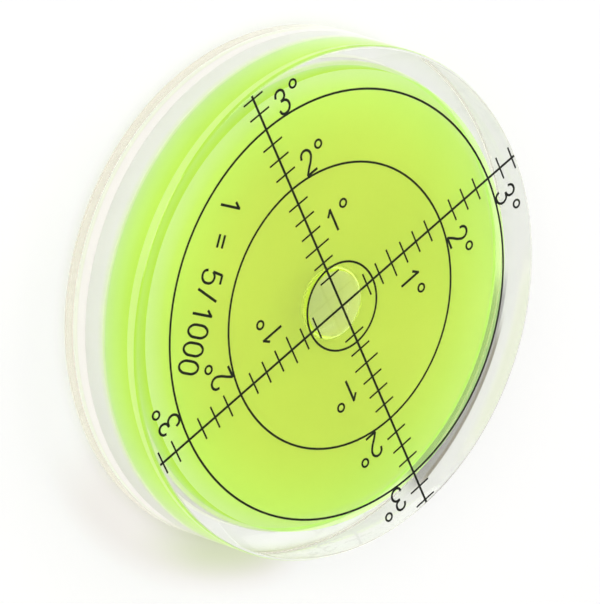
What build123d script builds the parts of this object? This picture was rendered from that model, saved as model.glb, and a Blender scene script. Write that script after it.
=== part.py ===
from build123d import *
import math
import os

os.makedirs("parts", exist_ok=True)

# Round bullseye level: a clear moulded cup with a domed chamber, an inset opal
# base disc that closes it, green spirit with an air bubble, and a printed dial.
# Millimetres, +Z up. The origin is at the middle of the foot, and the level
# lies on its foot with the dial facing up.

# Driving dimensions of the cup
body_diameter = 60.0        # across the foot, where the cup is widest
body_height = 12.0
side_draft = 2.0            # degrees, the cup narrows towards the dial
face_edge_break = 0.15
foot_edge_break = 0.25

# Driving dimensions of the chamber
wall_thickness = 3.5        # at the foot, measured to the chamber's wall
chamber_corner_break = 0.3
face_thickness = 3.0        # face plate, where it meets the chamber's wall
dome_radius = 472.0         # underside of the face plate, which sets the sensitivity
spirit_depth = 4.1          # at the chamber's wall

# Driving dimensions of the base disc and its seat
seat_ledge = 0.5            # step that the disc is pushed up against
disc_thickness = 3.0        # standard sheet
disc_clearance = 0.05       # round the disc, taken up by the bond
disc_edge_break = 0.2

# Driving dimensions of the bubble
bubble_radius = 4.3
bubble_edge_radius = 1.2    # the bubble's side is a round bulge
wetting_angle = 55.0        # degrees, how far that bulge wraps up to the dome

# Driving dimensions of the printed dial
divisions_per_degree = 4
ring_clearance = 0.83       # between the bubble and its ring
first_circle = 2            # degrees, the smallest tilt that has a circle
ink_thickness = 0.03
circle_line = 0.25
cross_line = 0.28           # the arms are printed bolder than the rest
tick_line = 0.21
tick_length = 2.96
long_tick_length = 3.74     # at one degree, which has no circle
first_tick = 2
cross_margin = 0.18         # from the cross's ends to the edge break

# Sizes that follow from them
foot_radius = body_diameter / 2
face_radius = foot_radius - body_height * math.tan(math.radians(side_draft))
chamber_radius = foot_radius - wall_thickness
dome_edge_z = body_height - face_thickness
dome_top_z = dome_edge_z + dome_radius - math.sqrt(dome_radius**2 - chamber_radius**2)
floor_z = dome_edge_z - spirit_depth
disc_seat_radius = chamber_radius + seat_ledge
disc_radius = disc_seat_radius - disc_clearance
disc_bottom_z = floor_z - disc_thickness
cross_reach = face_radius - face_edge_break - cross_margin
degree_travel = dome_radius * math.radians(1)
division = degree_travel / divisions_per_degree


def wall_radius(height):
    """Radius of the drafted outer wall at a height over the foot."""
    return foot_radius - height * math.tan(math.radians(side_draft))


def dome_height(radius):
    """Height of the domed ceiling at a distance from the axis."""
    return dome_top_z - dome_radius + math.sqrt(dome_radius**2 - radius**2)


def upright_disc(radius, low_z, high_z):
    """Round solid that stands between two heights."""
    standing = (Align.CENTER, Align.CENTER, Align.MIN)
    return Pos(0, 0, low_z) * Cylinder(radius, high_z - low_z, align=standing)


def turned(*outline):
    """A solid of revolution from the edges of a closed outline in the XZ plane."""
    return revolve(make_face(outline), axis=Axis.Z)


def make_chamber():
    """The space that the spirit fills: its corner broken and its ceiling domed."""
    corner_z = dome_edge_z - chamber_corner_break
    bore = Polyline(
        (0, 0, floor_z),
        (chamber_radius, 0, floor_z),
        (chamber_radius, 0, corner_z),
        (chamber_radius - (body_height - corner_z), 0, body_height),
        (0, 0, body_height),
        close=True,
    )
    # The sphere lies on its side, so that its poles are away from the ceiling
    dome = Pos(0, 0, dome_top_z - dome_radius) * Rot(90, 0, 0) * Sphere(dome_radius)
    return turned(bore) & dome


def make_cup(chamber):
    """Clear cup: drafted wall, face plate over the chamber, bore for the disc."""
    outline = Polyline(
        (0, 0, 0),
        (foot_radius - foot_edge_break, 0, 0),
        (wall_radius(foot_edge_break), 0, foot_edge_break),
        (wall_radius(body_height - face_edge_break), 0, body_height - face_edge_break),
        (face_radius - face_edge_break, 0, body_height),
        (0, 0, body_height),
        close=True,
    )
    return turned(outline) - upright_disc(disc_seat_radius, 0, floor_z) - chamber


def make_base_disc():
    """Opal disc that closes the chamber, both rims lightly broken."""
    disc = upright_disc(disc_radius, disc_bottom_z, floor_z)
    return chamfer(disc.edges().filter_by(GeomType.CIRCLE), disc_edge_break)


def make_spirit(chamber):
    """Green spirit: fills the chamber, with the air bubble's hollow on top."""
    wrap = math.radians(wetting_angle)
    bulge_x = bubble_radius - bubble_edge_radius
    contact_x = bulge_x + bubble_edge_radius * math.cos(wrap)
    bulge_z = dome_height(contact_x) - bubble_edge_radius * math.sin(wrap)
    bubble_floor_z = bulge_z - bubble_edge_radius
    bubble_side = ThreePointArc(
        (bulge_x, 0, bubble_floor_z),
        (bubble_radius, 0, bulge_z),
        (contact_x, 0, dome_height(contact_x)),
    )
    bubble_column = Polyline(
        (contact_x, 0, dome_height(contact_x)),
        (contact_x, 0, body_height),
        (0, 0, body_height),
        (0, 0, bubble_floor_z),
        (bulge_x, 0, bubble_floor_z),
    )
    return chamber - turned(bubble_side, bubble_column)


def circle_mark(radius):
    """One printed circle, centred on its radius."""
    return Circle(radius + circle_line / 2) - Circle(radius - circle_line / 2)


def make_dial():
    """Printed cross, ticks, bubble ring and degree circles, as one film of ink."""
    last_circle = math.floor(chamber_radius / degree_travel)
    last_tick = math.floor(cross_reach / division)
    marks = circle_mark(bubble_radius + ring_clearance)
    for tilt in range(first_circle, last_circle + 1):
        marks += circle_mark(tilt * degree_travel)
    marks += Rectangle(2 * cross_reach, cross_line)
    marks += Rectangle(cross_line, 2 * cross_reach)
    for step in range(first_tick, last_tick + 1):
        tilt = step / divisions_per_degree
        if tilt in range(first_circle, last_circle + 1):
            continue  # the circle stands for this tick
        length = long_tick_length if tilt == 1 else tick_length
        for quarter in range(4):
            marks += Rot(0, 0, 90 * quarter) * Pos(step * division, 0) * Rectangle(tick_line, length)
    return extrude(Pos(0, 0, body_height) * marks, amount=ink_thickness)


chamber = make_chamber()
nodes = {
    "clear_cup": make_cup(chamber),
    "base_disc": make_base_disc(),
    "green_spirit": make_spirit(chamber),
    "dial_print": make_dial(),
}

for name, solid in nodes.items():
    export_step(solid, f"parts/{name}.step")
    print(name, round(solid.volume, 2), solid.is_valid)
print("division", round(division, 3), "face radius", round(face_radius, 3))
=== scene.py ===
import math

import bpy
from mathutils import Matrix, Vector


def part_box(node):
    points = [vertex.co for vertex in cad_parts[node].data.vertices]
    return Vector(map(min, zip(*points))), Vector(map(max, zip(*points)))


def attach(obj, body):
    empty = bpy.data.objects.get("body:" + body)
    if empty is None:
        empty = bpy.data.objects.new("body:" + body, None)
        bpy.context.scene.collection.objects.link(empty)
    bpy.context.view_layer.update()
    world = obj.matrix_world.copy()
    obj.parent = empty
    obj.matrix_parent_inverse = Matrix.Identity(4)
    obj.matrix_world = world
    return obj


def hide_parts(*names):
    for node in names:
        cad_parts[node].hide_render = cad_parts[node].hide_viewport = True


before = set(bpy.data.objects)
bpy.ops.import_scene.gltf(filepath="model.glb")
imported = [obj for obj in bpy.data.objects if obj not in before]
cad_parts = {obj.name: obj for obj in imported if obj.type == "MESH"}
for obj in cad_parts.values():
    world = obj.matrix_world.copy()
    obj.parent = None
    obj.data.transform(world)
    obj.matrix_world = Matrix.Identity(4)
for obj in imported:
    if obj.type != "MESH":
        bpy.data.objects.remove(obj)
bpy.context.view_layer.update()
mm = 0.001


def colourOf(hexValue):
    # sRGB hex to the linear colour that the shaders work in
    parts = [int(hexValue[place:place + 2], 16) / 255 for place in (0, 2, 4)]
    return [part / 12.92 if part <= 0.04045 else ((part + 0.055) / 1.055) ** 2.4 for part in parts] + [1.0]


def addNode(tree, kind, settings=None, links=None):
    # one node: settings go to its own properties or sockets, links name the socket that each source feeds
    made = tree.nodes.new(kind)
    for name, value in (settings or {}).items():
        if isinstance(name, int) or name in made.inputs:
            made.inputs[name].default_value = value
        else:
            setattr(made, name, value)
    for name, source in (links or {}).items():
        tree.links.new(source, made.inputs[name])
    return made


def startMaterial(name):
    made = bpy.data.materials.new(name)
    made.use_nodes = True
    made.node_tree.nodes.clear()
    return made, made.node_tree


def endMaterial(tree, shader):
    addNode(tree, "ShaderNodeOutputMaterial", links={"Surface": shader.outputs[0]})


def deselectAll():
    if bpy.context.mode != "OBJECT":
        bpy.ops.object.mode_set(mode="OBJECT")
    bpy.ops.object.select_all(action="DESELECT")


def finishPiece(piece, replaced):
    for node in replaced:
        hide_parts(node)
    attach(piece, "root")


# the camera, at the angle of the photograph

cameraSettings = {
    "place": (-239.550, -196.014, 335.848),      # mm
    "turn": (-16.40911, -40.44906, 63.51259),    # degrees
    "lens": 238.41,
    "sensor": 36.0,
    "clip": (0.01, 20),                          # m
}

bpy.ops.object.camera_add()
camera = bpy.context.object
camera.name = "dialCamera"
camera.location = [value * mm for value in cameraSettings["place"]]
camera.rotation_euler = [math.radians(value) for value in cameraSettings["turn"]]
camera.data.lens = cameraSettings["lens"]
camera.data.sensor_width = cameraSettings["sensor"]
camera.data.clip_start, camera.data.clip_end = cameraSettings["clip"]
bpy.context.scene.camera = camera
bpy.context.scene.view_settings.view_transform = "Standard"
print("camera is set")

# what the pieces take from the CAD, in mm

discLow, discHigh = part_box("base_disc")
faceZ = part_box("clear_cup")[1].z / mm
discTopZ = discHigh.z / mm
discBottomZ = discLow.z / mm
discRadius = discHigh.x / mm
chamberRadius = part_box("green_spirit")[1].x / mm

# the materials

acrylicSettings = {
    "clear": "FEFEFD",
    "shaded": "F8FAF6",
    "ior": 1.49,
    "waveSize": 14.0,       # mm, the slow waves that moulding leaves
    "waveDepth": 0.010,     # mm
    "hazeSize": 5.0,        # mm, patches where handling has dulled the polish
    "hazeStart": 0.5,       # noise above this is haze
    "hazeFull": 0.75,
    "roughLow": 0.0,
    "roughHigh": 0.03,
    "cutTone": "FBF9F2",    # the foot's edge is cut and left unpolished
    "cutRoughLow": 0.342,
    "cutRoughHigh": 0.418,
    "cutSize": 0.5,         # mm, marks of the cutter, drawn coarser than they are so that they show
    "cutDepth": 0.001,      # mm
}


def makeAcrylic(name, sizes):
    # polished clear acrylic: glassy, with a few slow waves and patches of faint haze
    made, tree = startMaterial(name)
    place = addNode(tree, "ShaderNodeTexCoord").outputs["Object"]
    waves = addNode(tree, "ShaderNodeTexNoise", {
        "Scale": 1 / (sizes["waveSize"] * mm), "Detail": 1.0,
    }, {"Vector": place}).outputs["Fac"]
    haze = addNode(tree, "ShaderNodeTexNoise", {
        "Scale": 1 / (sizes["hazeSize"] * mm), "Detail": 4.0,
    }, {"Vector": place}).outputs["Fac"]
    rough = addNode(tree, "ShaderNodeMapRange", {
        "From Min": sizes["hazeStart"], "From Max": sizes["hazeFull"],
        "To Min": sizes["roughLow"], "To Max": sizes["roughHigh"],
    }, {"Value": haze})
    tone = addNode(tree, "ShaderNodeMix", {
        "data_type": "RGBA", 6: colourOf(sizes["clear"]), 7: colourOf(sizes["shaded"]),
    }, {0: haze})
    bump = addNode(tree, "ShaderNodeBump", {
        "Distance": sizes["waveDepth"] * mm, "Strength": 1.0,
    }, {"Height": waves})
    shader = addNode(tree, "ShaderNodeBsdfPrincipled", {
        "Transmission Weight": 1.0, "IOR": sizes["ior"],
    }, {"Base Color": tone.outputs[2], "Roughness": rough.outputs["Result"], "Normal": bump.outputs["Normal"]})
    endMaterial(tree, shader)
    return made


def makeCut(name, sizes):
    # acrylic as the cutter leaves it: frosted, so what lies behind it shows only as a soft pale line
    made, tree = startMaterial(name)
    place = addNode(tree, "ShaderNodeTexCoord").outputs["Object"]
    marks = addNode(tree, "ShaderNodeTexNoise", {
        "Scale": 1 / (sizes["cutSize"] * mm), "Detail": 2.0,
    }, {"Vector": place}).outputs["Fac"]
    rough = addNode(tree, "ShaderNodeMapRange", {
        "To Min": sizes["cutRoughLow"], "To Max": sizes["cutRoughHigh"],
    }, {"Value": marks})
    bump = addNode(tree, "ShaderNodeBump", {
        "Distance": sizes["cutDepth"] * mm, "Strength": 1.0,
    }, {"Height": marks})
    shader = addNode(tree, "ShaderNodeBsdfPrincipled", {
        "Base Color": colourOf(sizes["cutTone"]), "Transmission Weight": 1.0, "IOR": sizes["ior"],
    }, {"Roughness": rough.outputs["Result"], "Normal": bump.outputs["Normal"]})
    endMaterial(tree, shader)
    return made


def makeBonded(name):
    # acrylic that is wetted by spirit or solvent-bonded: with nothing to bend the light there, it doesn't show
    made, tree = startMaterial(name)
    shader = addNode(tree, "ShaderNodeBsdfTransparent", {"Color": (1, 1, 1, 1)})
    endMaterial(tree, shader)
    return made


spiritSettings = {
    "dye": "EAFD69",            # what white looks like through the full depth and back
    "dyeDeep": "E4FC63",
    "dyeEdge": "F4FEA8",        # under the dome's edge, where slanting light meets the wall instead of the disc
    "edgeReach": (24.2, 26.2),  # mm from the axis
    "dyeBubble": "FAFFB4",      # under the bubble
    "dyeWall": "CBFB22",        # through the top of the side wall, where the spirit is deeper
    "dyeShallow": "FBFEF4",     # and through its foot, where the light has met little of it
    "wallTop": 9.0,             # mm over the foot
    "shallowPower": 0.14,       # how soon the wall's tint is full: 1 is at its top, less is lower down
    "leavingDeep": 0.28,        # how full it is at the foot for light that leaves by the far side
    "glow": "839C3A",           # painted glow: a fixed emission standing in for the light a fluorescent dye gives back
    "wallGlow": "40FF50",       # more painted glow near the wall, standing in for light the wall traps
    "wallReach": (15.0, 27.0),  # mm from the axis
    "glowStrength": 0.12,
    "wallGlowStrength": 0.06,
    "iorWetted": 1.0,
    "iorBubble": 1.36,
    "cloudSize": 18.0,          # mm
}


def thinByEdge(tree, sizes, colour, reach):
    # the tint under the dome, thinner near its edge
    nearEdge = addNode(tree, "ShaderNodeMapRange", {
        "From Min": sizes["edgeReach"][0] * mm, "From Max": sizes["edgeReach"][1] * mm,
    }, {"Value": reach})
    return addNode(tree, "ShaderNodeMix", {
        "data_type": "RGBA", 7: colourOf(sizes["dyeEdge"]),
    }, {0: nearEdge.outputs["Result"], 6: colour}).outputs[2]


def thinByHeight(tree, sizes, colour, place):
    # the tint on the side wall, thinner at its foot
    height = addNode(tree, "ShaderNodeSeparateXYZ", {}, {"Vector": place}).outputs["Z"]
    rise = addNode(tree, "ShaderNodeMapRange", {
        "From Min": discTopZ * mm, "From Max": sizes["wallTop"] * mm,
    }, {"Value": height}).outputs["Result"]
    entering = addNode(tree, "ShaderNodeMath", {"operation": "POWER", 1: sizes["shallowPower"]}, {0: rise})
    # what leaves by the far side has come down from the dome, so there the tint deepens downwards
    leaving = addNode(tree, "ShaderNodeMapRange", {
        "To Min": sizes["leavingDeep"], "To Max": 0.0,
    }, {"Value": rise})
    inside = addNode(tree, "ShaderNodeNewGeometry").outputs["Backfacing"]
    share = addNode(tree, "ShaderNodeMix", {}, {0: inside, 2: entering.outputs[0], 3: leaving.outputs["Result"]})
    return addNode(tree, "ShaderNodeMix", {
        "data_type": "RGBA", 6: colourOf(sizes["dyeShallow"]),
    }, {0: share.outputs[0], 7: colour}).outputs[2]


def makeSpirit(name, sizes, ior, dyes, onWall=False):
    # spirit with a fluorescent dye: a clear tint, with a painted glow that keeps it bright however deep it is
    made, tree = startMaterial(name)
    place = addNode(tree, "ShaderNodeTexCoord").outputs["Object"]
    cloud = addNode(tree, "ShaderNodeTexNoise", {
        "Scale": 1 / (sizes["cloudSize"] * mm), "Detail": 1.0,
    }, {"Vector": place}).outputs["Fac"]
    tone = addNode(tree, "ShaderNodeMix", {
        "data_type": "RGBA", 6: colourOf(sizes[dyes[0]]), 7: colourOf(sizes[dyes[1]]),
    }, {0: cloud}).outputs[2]
    flatPlace = addNode(tree, "ShaderNodeVectorMath", {"operation": "MULTIPLY", 1: (1, 1, 0)}, {0: place})
    reach = addNode(tree, "ShaderNodeVectorMath", {
        "operation": "LENGTH",
    }, {0: flatPlace.outputs[0]}).outputs["Value"]
    if onWall:
        colour = thinByHeight(tree, sizes, tone, place)
    else:
        colour = thinByEdge(tree, sizes, tone, reach)
    # painted glow: a fixed emission, stronger near the wall
    nearWall = addNode(tree, "ShaderNodeMapRange", {
        "interpolation_type": "SMOOTHSTEP",
        "From Min": sizes["wallReach"][0] * mm, "From Max": sizes["wallReach"][1] * mm,
    }, {"Value": reach})
    glow = addNode(tree, "ShaderNodeMix", {
        "data_type": "RGBA", 6: colourOf(sizes["glow"]), 7: colourOf(sizes["wallGlow"]),
    }, {0: nearWall.outputs["Result"]})
    shader = addNode(tree, "ShaderNodeBsdfPrincipled", {
        "Transmission Weight": 1.0, "IOR": ior, "Roughness": 0.0,
        "Emission Strength": sizes["wallGlowStrength" if onWall else "glowStrength"],
    }, {"Base Color": colour, "Emission Color": glow.outputs[2]})
    endMaterial(tree, shader)
    return made


inkSettings = {
    "dense": "0B0F0A",
    "thin": "171C14",
    "meshSize": 0.12,       # mm, thread spacing of the printing screen
    "roughLow": 0.40,
    "roughHigh": 0.60,
    "specular": 0.25,
    "depth": 0.004,         # mm
}


def makeInk(name, sizes):
    # screen-printed black ink: near black, satin, with the screen's faint unevenness
    made, tree = startMaterial(name)
    place = addNode(tree, "ShaderNodeTexCoord").outputs["Object"]
    grain = addNode(tree, "ShaderNodeTexNoise", {
        "Scale": 1 / (sizes["meshSize"] * mm), "Detail": 2.0,
    }, {"Vector": place}).outputs["Fac"]
    tone = addNode(tree, "ShaderNodeMix", {
        "data_type": "RGBA", 6: colourOf(sizes["dense"]), 7: colourOf(sizes["thin"]),
    }, {0: grain})
    rough = addNode(tree, "ShaderNodeMapRange", {
        "To Min": sizes["roughLow"], "To Max": sizes["roughHigh"],
    }, {"Value": grain})
    bump = addNode(tree, "ShaderNodeBump", {
        "Distance": sizes["depth"] * mm, "Strength": 1.0,
    }, {"Height": grain})
    shader = addNode(tree, "ShaderNodeBsdfPrincipled", {"Specular IOR Level": sizes["specular"]}, {
        "Base Color": tone.outputs[2], "Roughness": rough.outputs["Result"], "Normal": bump.outputs["Normal"],
    })
    endMaterial(tree, shader)
    return made


opalSettings = {
    "white": "F8F9F6",
    "cream": "F2F4EC",
    "cloudSize": 9.0,       # mm
    "scatter": 1.2,         # mm that light wanders under the surface
    "scatterShare": 0.5,
    "rough": 0.45,
    "specular": 0.5,        # where the sheet meets air
    "sawSize": 0.6,         # mm, marks of the cutter
    "sawDepth": 0.01,       # mm
    "paintedGreenLight": "E2F9B0",      # painted green light: the side takes the liquid's colour near the top, where light comes through the liquid
    "paintedGreenLightReach": 1.1,      # mm under the top where it starts
    "paintedGreenLightPast": 1.0,       # mm over the top where it would be full
    "leak": "FFF9E6",       # painted glow: a fixed emission from the side and underside, standing in for light that wanders through the sheet
    "leakSide": 0.085,
    "leakUnder": 0.527,
}


def makeOpal(name, sizes, wetted, leak, paintedGreenLightTop=None):
    # opal acrylic sheet: soft milky white, without gloss where it is wetted or bonded; painted green light near the top
    # of its side, and a painted glow from its side and underside
    made, tree = startMaterial(name)
    place = addNode(tree, "ShaderNodeTexCoord").outputs["Object"]
    cloud = addNode(tree, "ShaderNodeTexNoise", {
        "Scale": 1 / (sizes["cloudSize"] * mm), "Detail": 2.0,
    }, {"Vector": place}).outputs["Fac"]
    grain = addNode(tree, "ShaderNodeTexNoise", {
        "Scale": 1 / (sizes["sawSize"] * mm), "Detail": 2.0,
    }, {"Vector": place}).outputs["Fac"]
    colour = addNode(tree, "ShaderNodeMix", {
        "data_type": "RGBA", 6: colourOf(sizes["white"]), 7: colourOf(sizes["cream"]),
    }, {0: cloud}).outputs[2]
    # painted green light: near the top the side turns to the liquid's colour
    if paintedGreenLightTop is not None:
        height = addNode(tree, "ShaderNodeSeparateXYZ", {}, {"Vector": place}).outputs["Z"]
        rise = addNode(tree, "ShaderNodeMapRange", {
            "interpolation_type": "SMOOTHSTEP",
            "From Min": (paintedGreenLightTop - sizes["paintedGreenLightReach"]) * mm, "From Max": (paintedGreenLightTop + sizes["paintedGreenLightPast"]) * mm,
        }, {"Value": height})
        colour = addNode(tree, "ShaderNodeMix", {
            "data_type": "RGBA", 7: colourOf(sizes["paintedGreenLight"]),
        }, {0: rise.outputs["Result"], 6: colour}).outputs[2]
    bump = addNode(tree, "ShaderNodeBump", {
        "Distance": sizes["sawDepth"] * mm, "Strength": 1.0,
    }, {"Height": grain})
    # the emission is the painted glow
    shader = addNode(tree, "ShaderNodeBsdfPrincipled", {
        "Roughness": sizes["rough"], "Specular IOR Level": 0.0 if wetted else sizes["specular"],
        "Subsurface Weight": sizes["scatterShare"], "Subsurface Scale": sizes["scatter"] * mm,
        "Subsurface Radius": (1.0, 1.0, 1.0),
        "Emission Color": colourOf(sizes["leak"]), "Emission Strength": leak,
    }, {"Base Color": colour, "Normal": bump.outputs["Normal"]})
    endMaterial(tree, shader)
    return made


iorWetted = spiritSettings["iorWetted"]
iorBubble = spiritSettings["iorBubble"]
mouldedAcrylic = makeAcrylic("mouldedAcrylic", acrylicSettings)
cutAcrylic = makeCut("cutAcrylic", acrylicSettings)
bondedAcrylic = makeBonded("bondedAcrylic")
opalAcrylic = makeOpal("opalAcrylic", opalSettings, False, opalSettings["leakUnder"])
opalWetted = makeOpal("opalWetted", opalSettings, True, 0.0)
opalBonded = makeOpal("opalBonded", opalSettings, True, opalSettings["leakSide"], discTopZ)
dyedSpirit = makeSpirit("dyedSpirit", spiritSettings, iorWetted, ("dye", "dyeDeep"))
wallSpirit = makeSpirit("wallSpirit", spiritSettings, iorWetted, ("dyeWall", "dyeWall"), onWall=True)
bubbleSkin = makeSpirit("bubbleSkin", spiritSettings, iorBubble, ("dyeBubble", "dyeBubble"))
printedInk = makeInk("printedInk", inkSettings)
print("materials are made")

# the turned pieces

turnSettings = {
    "steps": 256,
    "roundSteps": 5,
    "weld": 0.001,          # mm
    "smoothUnder": 28,      # degrees
    "slack": 0.01,          # mm, when faces are told apart by their place
}


def turnPiece(name, outline, rounded):
    # the outline's points are drawn one by one from the axis back to the axis,
    # the corners given in rounded are rounded, and it is spun
    deselectAll()
    bpy.ops.mesh.primitive_plane_add(size=mm)
    piece = bpy.context.object
    piece.name = name
    bpy.ops.object.mode_set(mode="EDIT")
    bpy.ops.mesh.select_all(action="SELECT")
    bpy.ops.mesh.merge(type="CENTER")
    bpy.ops.transform.translate(value=(outline[0][0] * mm, 0, outline[0][1] * mm))
    for start, end in zip(outline, outline[1:]):
        step = ((end[0] - start[0]) * mm, 0, (end[1] - start[1]) * mm)
        bpy.ops.mesh.extrude_region_move(TRANSFORM_OT_translate={"value": step})
    for (x, z), radius in rounded:
        bpy.ops.mesh.select_all(action="DESELECT")
        bpy.ops.object.mode_set(mode="OBJECT")
        corner = Vector((x * mm, 0, z * mm))
        nearest = min(piece.data.vertices, key=lambda vertex: (vertex.co - corner).length)
        nearest.select = True
        bpy.ops.object.mode_set(mode="EDIT")
        bpy.ops.mesh.bevel(offset=radius * mm, segments=turnSettings["roundSteps"], affect="VERTICES")
    bpy.ops.mesh.select_all(action="SELECT")
    bpy.ops.mesh.spin(steps=turnSettings["steps"], angle=2 * math.pi, center=(0, 0, 0), axis=(0, 0, 1))
    bpy.ops.mesh.select_all(action="SELECT")
    bpy.ops.mesh.remove_doubles(threshold=turnSettings["weld"] * mm)
    bpy.ops.mesh.normals_make_consistent(inside=False)
    bpy.ops.object.mode_set(mode="OBJECT")
    bpy.ops.object.shade_smooth_by_angle(angle=math.radians(turnSettings["smoothUnder"]))
    return piece


def paint(piece, materials, chooser):
    # the chooser says which material a face takes, from its middle's distance from the axis and height, in mm
    for material in materials:
        piece.data.materials.append(material)
    for face in piece.data.polygons:
        middle = face.center / mm
        face.material_index = chooser(math.hypot(middle.x, middle.y), middle.z)


cupSizes = {
    "footRadius": 30.0,
    "draft": 2.0,           # degrees
    "faceRound": 0.42,
    "footRound": 0.35,
    "boreRadius": 27.0,
    "boreRound": 0.12,
    "cornerBreak": 0.3,
    "domeEdgeZ": 9.0,
    "domeRadius": 472.0,
    "domeSteps": 22,
}
bubbleSizes = {
    "radius": 4.3,
    "edgeRadius": 1.2,
    "wrap": 55.0,           # degrees, how far the round side reaches up to the dome
    "edgeSteps": 14,
    "wallGap": 0.02,        # keeps the spirit's skin off the acrylic's
}

domeCentreZ = cupSizes["domeEdgeZ"] - math.sqrt(cupSizes["domeRadius"] ** 2 - chamberRadius ** 2)
domeTopZ = domeCentreZ + cupSizes["domeRadius"]


def domeZ(reach):
    return domeCentreZ + math.sqrt(cupSizes["domeRadius"] ** 2 - reach ** 2)


wrap = math.radians(bubbleSizes["wrap"])
bulgeX = bubbleSizes["radius"] - bubbleSizes["edgeRadius"]
contactX = bulgeX + bubbleSizes["edgeRadius"] * math.cos(wrap)
bulgeZ = domeZ(contactX) - bubbleSizes["edgeRadius"] * math.sin(wrap)


def domeArc(start, drop):
    # the dome's profile from near the wall in to the bubble, some way under the ceiling
    steps = cupSizes["domeSteps"]
    reaches = [start + (contactX - start) * step / steps for step in range(steps + 1)]
    return [(reach, domeZ(reach) - drop) for reach in reaches]


slack = turnSettings["slack"]
faceRadius = cupSizes["footRadius"] - faceZ * math.tan(math.radians(cupSizes["draft"]))
ceilingReach = chamberRadius - cupSizes["cornerBreak"]
clearCup = turnPiece("clearCup", [
    (0, faceZ),
    (faceRadius, faceZ),
    (cupSizes["footRadius"], 0),
    (cupSizes["boreRadius"], 0),
    (cupSizes["boreRadius"], discBottomZ),
    (cupSizes["boreRadius"], discTopZ),
    (chamberRadius, discTopZ),
    (chamberRadius, cupSizes["domeEdgeZ"] - cupSizes["cornerBreak"]),
    *domeArc(ceilingReach, 0),
    (contactX * 2 / 3, domeZ(contactX * 2 / 3)),
    (contactX / 3, domeZ(contactX / 3)),
    (0, domeTopZ),
], [
    ((faceRadius, faceZ), cupSizes["faceRound"]),
    ((cupSizes["footRadius"], 0), cupSizes["footRound"]),
    ((cupSizes["boreRadius"], 0), cupSizes["boreRound"]),
])


def cupFinish(reach, height):
    # 0 polished, 1 wetted or bonded, 2 cut; the bond also fills the bore's foot, where it makes a fillet
    if height < cupSizes["footRound"] and reach > cupSizes["footRadius"] - cupSizes["footRound"]:
        return 2
    if height < discBottomZ:
        return 1 if reach < cupSizes["boreRadius"] + cupSizes["boreRound"] else 0
    inside = reach < cupSizes["boreRadius"] + slack and height < domeTopZ + slack
    return 1 if inside and reach > contactX else 0


paint(clearCup, [mouldedAcrylic, bondedAcrylic, cutAcrylic], cupFinish)
finishPiece(clearCup, ["clear_cup"])
print("cup is turned")

discSizes = {
    "rimRound": 0.15,
}
baseDisc = turnPiece("baseDisc", [
    (0, discTopZ),
    (chamberRadius, discTopZ),
    (discRadius, discTopZ),
    (discRadius, discBottomZ),
    (0, discBottomZ),
], [
    ((discRadius, discTopZ), discSizes["rimRound"]),
    ((discRadius, discBottomZ), discSizes["rimRound"]),
])


def discFinish(reach, height):
    # 0 open underside, 1 wetted top, 2 bonded rim and side
    if height < discBottomZ + slack:
        return 0
    return 2 if reach > chamberRadius else 1


paint(baseDisc, [opalAcrylic, opalWetted, opalBonded], discFinish)
finishPiece(baseDisc, ["base_disc"])

gap = bubbleSizes["wallGap"]
spiritOutline = [
    (0, discTopZ + gap),
    (chamberRadius - gap, discTopZ + gap),
    (chamberRadius - gap, cupSizes["domeEdgeZ"] - cupSizes["cornerBreak"] - gap / 2),
]
spiritOutline += domeArc(ceilingReach - gap / 2, gap)
for step in range(1, bubbleSizes["edgeSteps"] + 1):
    around = wrap - (wrap + math.pi / 2) * step / bubbleSizes["edgeSteps"]
    spiritOutline.append((
        bulgeX + bubbleSizes["edgeRadius"] * math.cos(around),
        bulgeZ + bubbleSizes["edgeRadius"] * math.sin(around),
    ))
spiritOutline.append((0, bulgeZ - bubbleSizes["edgeRadius"]))
greenSpirit = turnPiece("greenSpirit", spiritOutline, [])
skin = gap * 1.5            # faces this near to a wall lie along it


def spiritFinish(reach, height):
    # 0 under the dome, 1 round the bubble, 2 on the disc, 3 along the wall
    if height < discTopZ + skin:
        return 2
    if reach > chamberRadius - skin:
        return 3
    return 1 if reach < bubbleSizes["radius"] and height < domeZ(reach) - skin else 0


paint(greenSpirit, [dyedSpirit, bubbleSkin, bondedAcrylic, wallSpirit], spiritFinish)
finishPiece(greenSpirit, ["green_spirit"])
print("disc and spirit are turned")

# the printed dial

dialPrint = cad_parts["dial_print"]
dialPrint.data.materials.clear()
dialPrint.data.materials.append(printedInk)

figureSizes = {
    "division": 2.0595,     # mm between ticks
    "divisionsPerDegree": 4,
    "height": 1.40,         # of a figure, in divisions
    "side": 1.60,           # from the arm to a figure's middle, in divisions
    "ringSide": 2.63,
    "ringRise": 1.17,
    "ringRadius": 0.225,
    "line": 0.31,           # mm
    "ringLine": 0.25,       # mm
    "notePlace": (-6.70, -7.02),
    "noteTurn": -45.8,      # degrees
    "noteLength": 9.85,
    "noteHeight": 1.35,
    "note": "1 = 5/1000",   # one division, as a slope
    "boxMiddle": (0.28, 0.5),
    "lineSides": 2,         # how finely the strokes and rings are drawn
    "strokeSteps": 5,
    "ringSteps": 40,
}
printLow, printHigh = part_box("dial_print")
inkZ = printLow.z
inkDepth = printHigh.z - printLow.z
division = figureSizes["division"]

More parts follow.
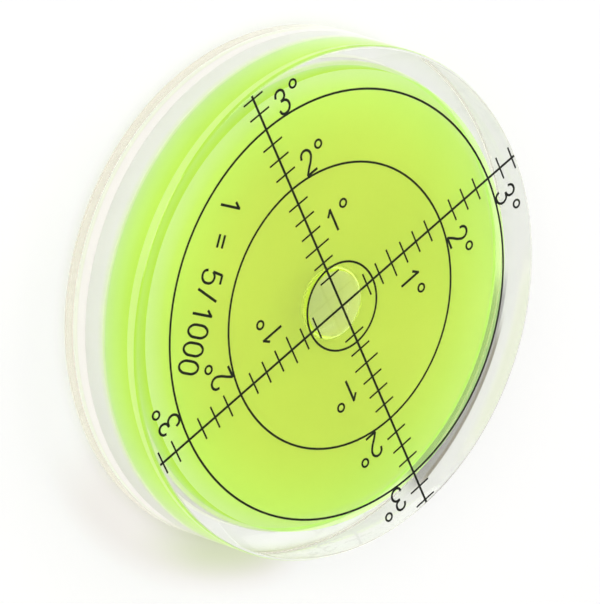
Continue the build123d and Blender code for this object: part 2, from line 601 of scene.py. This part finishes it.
# each figure's strokes in a box one high, from its foot's left corner: straight, smooth, or a closed loop
figureStrokes = {
    "0": [
        ("loop", [
            (0.28, 1.0), (0.10, 0.88), (0.03, 0.5), (0.10, 0.12),
            (0.28, 0.0), (0.46, 0.12), (0.53, 0.5), (0.46, 0.88),
        ]),
    ],
    "1": [("straight", [(0.34, 1.02), (0.34, 0.0)]), ("straight", [(0.12, 0.74), (0.36, 1.0)])],
    "2": [
        ("smooth", [
            (0.04, 0.73), (0.10, 0.91), (0.28, 1.0), (0.46, 0.92),
            (0.53, 0.73), (0.43, 0.49), (0.20, 0.22), (0.03, 0.0),
        ]),
        ("straight", [(0.01, 0.0), (0.56, 0.0)]),
    ],
    "3": [
        ("smooth", [(0.04, 0.77), (0.11, 0.93), (0.28, 1.0), (0.44, 0.93), (0.49, 0.76), (0.41, 0.60), (0.22, 0.54)]),
        ("smooth", [(0.22, 0.54), (0.44, 0.48), (0.54, 0.28), (0.45, 0.07), (0.27, 0.0), (0.09, 0.06), (0.02, 0.24)]),
    ],
    "5": [
        ("straight", [(0.50, 1.0), (0.12, 1.0)]),
        ("straight", [(0.13, 1.0), (0.06, 0.50)]),
        ("smooth", [
            (0.06, 0.50), (0.17, 0.60), (0.31, 0.635), (0.48, 0.55), (0.545, 0.33),
            (0.46, 0.09), (0.26, 0.0), (0.09, 0.06), (0.02, 0.23),
        ]),
    ],
    "=": [("straight", [(0.02, 0.62), (0.56, 0.62)]), ("straight", [(0.02, 0.36), (0.56, 0.36)])],
    "/": [("straight", [(0.10, -0.04), (0.46, 1.04)])],
}


def printFigure(character, height, middle, turn):
    # strokes of even width, drawn as tubes and pressed flat to the ink's thickness
    deselectAll()
    bpy.ops.curve.primitive_bezier_curve_add(radius=1.0)
    drawn = bpy.context.object.data
    drawn.splines.clear()
    boxX, boxY = figureSizes["boxMiddle"]
    for kind, points in figureStrokes[character]:
        stroke = drawn.splines.new("BEZIER")
        stroke.bezier_points.add(len(points) - 1)
        stroke.use_cyclic_u = kind == "loop"
        for knot, (x, y) in zip(stroke.bezier_points, points):
            knot.co = ((x - boxX) * height * mm, (y - boxY) * height * mm, 0)
            knot.handle_left_type = knot.handle_right_type = "VECTOR" if kind == "straight" else "AUTO"
    drawn.dimensions = "3D"
    drawn.bevel_depth = figureSizes["line"] / 2 * mm
    drawn.bevel_resolution = figureSizes["lineSides"]
    drawn.resolution_u = figureSizes["strokeSteps"]
    drawn.use_fill_caps = True
    bpy.ops.object.convert(target="MESH")
    made = bpy.context.object
    flat = Matrix.Diagonal((1, 1, inkDepth / (figureSizes["line"] * mm), 1))
    put = Matrix.Translation((middle[0] * mm, middle[1] * mm, inkZ + inkDepth / 2))
    made.data.transform(put @ Matrix.Rotation(math.radians(turn), 4, "Z") @ flat)
    return made


def printRing(middle):
    # the degree sign: a filled circle, inset and emptied, then thickened
    deselectAll()
    outer = (figureSizes["ringRadius"] * division + figureSizes["ringLine"] / 2) * mm
    bpy.ops.mesh.primitive_circle_add(
        vertices=figureSizes["ringSteps"], radius=outer, fill_type="NGON",
        location=(middle[0] * mm, middle[1] * mm, inkZ),
    )
    made = bpy.context.object
    bpy.ops.object.transform_apply(location=True)
    bpy.ops.object.mode_set(mode="EDIT")
    bpy.ops.mesh.select_all(action="SELECT")
    bpy.ops.mesh.inset(thickness=figureSizes["ringLine"] * mm)
    bpy.ops.mesh.delete(type="ONLY_FACE")
    bpy.ops.mesh.select_all(action="SELECT")
    bpy.ops.mesh.extrude_region_move(TRANSFORM_OT_translate={"value": (0, 0, inkDepth)})
    bpy.ops.mesh.select_all(action="SELECT")
    bpy.ops.mesh.normals_make_consistent(inside=False)
    bpy.ops.object.mode_set(mode="OBJECT")
    return made


prints = []
for quarter in range(4):
    arm = math.radians(90 * quarter)
    along = Vector((math.cos(arm), math.sin(arm)))
    side = Vector((math.sin(arm), -math.cos(arm)))
    for degree in (1, 2, 3):
        base = degree * figureSizes["divisionsPerDegree"]
        middle = (along * (base + figureSizes["height"] / 2) + side * figureSizes["side"]) * division
        prints.append(printFigure(str(degree), figureSizes["height"] * division, middle, 90 * quarter - 90))
        prints.append(printRing((along * (base + figureSizes["ringRise"]) + side * figureSizes["ringSide"]) * division))
note = figureSizes["note"]
noteMiddle = Vector(figureSizes["notePlace"])
noteTurn = math.radians(figureSizes["noteTurn"])
noteRun = Vector((math.cos(noteTurn), math.sin(noteTurn)))
pitch = figureSizes["noteLength"] / len(note)
for index, character in enumerate(note):
    if character == " ":
        continue
    middle = (noteMiddle + noteRun * pitch * (index + 0.5 - len(note) / 2)) * division
    prints.append(printFigure(character, figureSizes["noteHeight"] * division, middle, figureSizes["noteTurn"]))
deselectAll()
for made in prints:
    made.select_set(True)
bpy.context.view_layer.objects.active = prints[0]
bpy.ops.object.join()
dialFigures = bpy.context.object
dialFigures.name = "dialFigures"
dialFigures.data.materials.clear()
dialFigures.data.materials.append(printedInk)
finishPiece(dialFigures, [])
print("dial is printed")

# the floor, the world and the lamps

stageSettings = {
    "floorSize": 6.0,       # m
    "floorDrop": 0.02,      # mm under the foot
    "paper": "A6A5A4",
    "glow": 0.64,           # what the camera sees on top of the light that falls on the paper
    "glowThrough": 0.78,    # the same through acrylic
    "contactReach": 2.4,    # mm, how far the painted contact shadow reaches
    "contactDark": 0.87,
    # bands of the paper are four places each: they rise from nothing at the first to full at the second,
    # and fall back from the third to the fourth
    "spill": "F4F8E8",      # painted light: green light that leaves the liquid, painted on the paper by the disc and by the wall
    "spillDisc": (25.6, 26.2, 26.8, 27.3),      # mm from the axis
    "spillWall": (27.5, 30.0, 30.0, 31.2),
    "spillWallShare": 0.3,
    # patches of painted shadow and painted light: colour, band in mm from the axis, band in degrees round it
    "patches": (
        ("BCB9BB", (28.35, 28.5, 30.3, 31.6), (2, 9, 50, 60)),          # the darkest of the shadow, under the foot
        ("A9A196", (27.95, 28.05, 28.35, 28.5), (4, 11, 40, 50)),       # and its inner edge
        ("F5F3F0", (20.0, 23.0, 25.7, 26.4), (-200, -190, 190, 200)),   # the shade under the disc
        ("F7F3F1", (29.0, 30.0, 33.5, 38.0), (-98, -76, -30, -16)),     # the soft shadow beside it
        ("E9F3D7", (28.6, 30.4, 31.8, 36.0), (-68, -42, -36, -14)),     # light that came through the liquid
    ),
    "worldLight": 0.5,
    "worldOverhead": 0.25,  # what glossy faces mirror from above
    "overheadStart": 0.15,  # height of the direction where that sets in
    "overheadFull": 0.7,
}

deselectAll()
bpy.ops.mesh.primitive_plane_add(size=stageSettings["floorSize"], location=(0, 0, -stageSettings["floorDrop"] * mm))
floor = bpy.context.object
floor.name = "studioFloor"

paperMaterial, tree = startMaterial("studioPaper")
place = addNode(tree, "ShaderNodeTexCoord").outputs["Object"]
sides = addNode(tree, "ShaderNodeSeparateXYZ", {}, {"Vector": place})
fromAxis = addNode(tree, "ShaderNodeVectorMath", {"operation": "LENGTH"}, {0: place}).outputs["Value"]
roundAxis = addNode(tree, "ShaderNodeMath", {
    "operation": "ARCTAN2",
}, {0: sides.outputs["Y"], 1: sides.outputs["X"]}).outputs[0]


def bandShare(tree, bands):
    # how far a place lies in all of the bands at once, from 0 to 1
    product = None
    for value, (rise, full, last, gone) in bands:
        for start, end in ((rise, full), (gone, last)):
            ramp = addNode(tree, "ShaderNodeMapRange", {
                "interpolation_type": "SMOOTHSTEP", "From Min": start, "From Max": end,
            }, {"Value": value}).outputs["Result"]
            if product is None:
                product = ramp
            else:
                product = addNode(tree, "ShaderNodeMath", {"operation": "MULTIPLY"}, {0: product, 1: ramp}).outputs[0]
    return product


def inMetres(band):
    return [value * mm for value in band]


# painted green light by the disc and by the wall
byDisc = bandShare(tree, [(fromAxis, inMetres(stageSettings["spillDisc"]))])
byWall = bandShare(tree, [(fromAxis, inMetres(stageSettings["spillWall"]))])
byWall = addNode(tree, "ShaderNodeMath", {
    "operation": "MULTIPLY", 1: stageSettings["spillWallShare"],
}, {0: byWall}).outputs[0]
spillShare = addNode(tree, "ShaderNodeMath", {"operation": "MAXIMUM"}, {0: byDisc, 1: byWall}).outputs[0]
layers = []
for tone, ring, arc in stageSettings["patches"]:
    bands = [(fromAxis, inMetres(ring)), (roundAxis, [math.radians(value) for value in arc])]
    layers.append((bandShare(tree, bands), tone))
layers.append((spillShare, stageSettings["spill"]))

# painted contact shadow: the paper's colour and glow darken near the object
contact = addNode(tree, "ShaderNodeAmbientOcclusion", {"Distance": stageSettings["contactReach"] * mm, "samples": 8})
paintedShadeAndLight = addNode(tree, "ShaderNodeMapRange", {
    "To Min": stageSettings["contactDark"],
}, {"Value": contact.outputs["AO"]}).outputs["Result"]
# the painted contact shadow, the patches and the painted green light are multiplied into the paper's colour, which its
# glow takes too
for share, tone in layers:
    paintedShadeAndLight = addNode(tree, "ShaderNodeMix", {
        "data_type": "RGBA", "blend_type": "MULTIPLY", 7: colourOf(tone),
    }, {0: share, 6: paintedShadeAndLight}).outputs[2]
paperTone = addNode(tree, "ShaderNodeMix", {
    "data_type": "RGBA", "blend_type": "MULTIPLY", 0: 1.0, 7: colourOf(stageSettings["paper"]),
}, {6: paintedShadeAndLight})
paper = addNode(tree, "ShaderNodeBsdfDiffuse", {}, {"Color": paperTone.outputs[2]})

# the paper glows for the camera, and for what is seen in or through the acrylic
lightPath = addNode(tree, "ShaderNodeLightPath")
direct = addNode(tree, "ShaderNodeMath", {
    "operation": "MULTIPLY", 1: stageSettings["glow"],
}, {0: lightPath.outputs["Is Camera Ray"]})
through = addNode(tree, "ShaderNodeMath", {"operation": "MAXIMUM"}, {
    0: lightPath.outputs["Is Glossy Ray"], 1: lightPath.outputs["Is Transmission Ray"],
})
glowStrength = addNode(tree, "ShaderNodeMix", {
    3: stageSettings["glowThrough"],
}, {0: through.outputs[0], 2: direct.outputs[0]})
glow = addNode(tree, "ShaderNodeEmission", {}, {"Color": paintedShadeAndLight, "Strength": glowStrength.outputs[0]})
both = addNode(tree, "ShaderNodeAddShader", {}, {0: paper.outputs[0], 1: glow.outputs[0]})
endMaterial(tree, both)
floor.data.materials.append(paperMaterial)

# the world is white where it is seen, and half of that as light; polished faces mirror a darker ceiling
world = bpy.data.worlds.new("studioWorld")
bpy.context.scene.world = world
world.use_nodes = True
tree = world.node_tree
tree.nodes.clear()
lightPath = addNode(tree, "ShaderNodeLightPath")
heading = addNode(tree, "ShaderNodeTexCoord").outputs["Generated"]
height = addNode(tree, "ShaderNodeSeparateXYZ", {}, {"Vector": heading}).outputs["Z"]
overhead = addNode(tree, "ShaderNodeMapRange", {
    "interpolation_type": "SMOOTHSTEP",
    "From Min": stageSettings["overheadStart"], "From Max": stageSettings["overheadFull"],
    "To Min": 1.0, "To Max": stageSettings["worldOverhead"],
}, {"Value": height})
seen = addNode(tree, "ShaderNodeMath", {"operation": "MAXIMUM"}, {
    0: lightPath.outputs["Is Camera Ray"], 1: lightPath.outputs["Is Transmission Ray"],
})
mirrored = addNode(tree, "ShaderNodeMix", {
    2: stageSettings["worldLight"],
}, {0: lightPath.outputs["Is Glossy Ray"], 3: overhead.outputs["Result"]})
strength = addNode(tree, "ShaderNodeMix", {3: 1.0}, {0: seen.outputs[0], 2: mirrored.outputs[0]})
sky = addNode(tree, "ShaderNodeBackground", {"Color": (1, 1, 1, 1)}, {"Strength": strength.outputs[0]})
addNode(tree, "ShaderNodeOutputWorld", links={"Surface": sky.outputs[0]})

lampSettings = {
    "key": {"place": (-0.06, 0.70, 0.84), "size": 0.7, "power": 3.6},
    "fill": {"place": (-0.80, -0.46, 0.77), "size": 0.7, "power": 7.0},
}
for name, settings in lampSettings.items():
    bpy.ops.object.light_add(type="AREA", location=settings["place"])
    lamp = bpy.context.object
    lamp.name = name + "Lamp"
    lamp.data.size = settings["size"]
    lamp.data.energy = settings["power"]
    lamp.rotation_euler = (-Vector(settings["place"])).to_track_quat("-Z", "Y").to_euler()
print("stage is lit")
